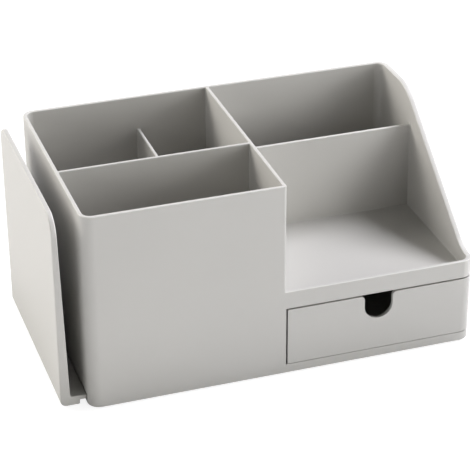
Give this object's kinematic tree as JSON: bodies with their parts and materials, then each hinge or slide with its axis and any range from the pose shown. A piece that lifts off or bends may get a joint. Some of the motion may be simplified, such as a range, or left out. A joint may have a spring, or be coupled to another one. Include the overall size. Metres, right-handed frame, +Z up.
{
  "type": "makeup organizer",
  "caption": "Desktop makeup organizer: tall open compartments, a tray with a sloped side above a notched drawer, and an L-shaped side panel that slides out to make a narrow slot.",
  "frame": {"origin": "on the table, under the middle of the whole object with the side panel pulled out as pictured", "axes": "+X to the right of the front, +Y from the front to the back, +Z up"},
  "size_m": [0.278, 0.1606, 0.1361],
  "materials": {
    "shell_plastic": "light warm grey moulded plastic, satin",
    "base_plastic": "grey moulded plastic, matt",
    "screw_steel": "plain steel",
    "foot_rubber": "dark grey rubber, matt"
  },
  "bodies": {
    "case": {"body_shell": "shell_plastic", "base_plate": "base_plastic", "base_screws": "screw_steel", "foot_front_left": "foot_rubber", "foot_front_right": "foot_rubber", "foot_back_left": "foot_rubber", "foot_back_right": "foot_rubber"},
    "drawer": {"drawer": "shell_plastic"},
    "side_panel": {"side_panel": "shell_plastic"}
  },
  "joints": [
    {"name": "drawer_slide", "type": "slide", "parent": "case", "child": "drawer", "axis": [0, -1, 0], "range_m": [0, 0.072]},
    {"name": "panel_slide", "type": "slide", "parent": "case", "child": "side_panel", "axis": [-1, 0, 0], "range_m": [-0.0086, 0.025]}
  ]
}
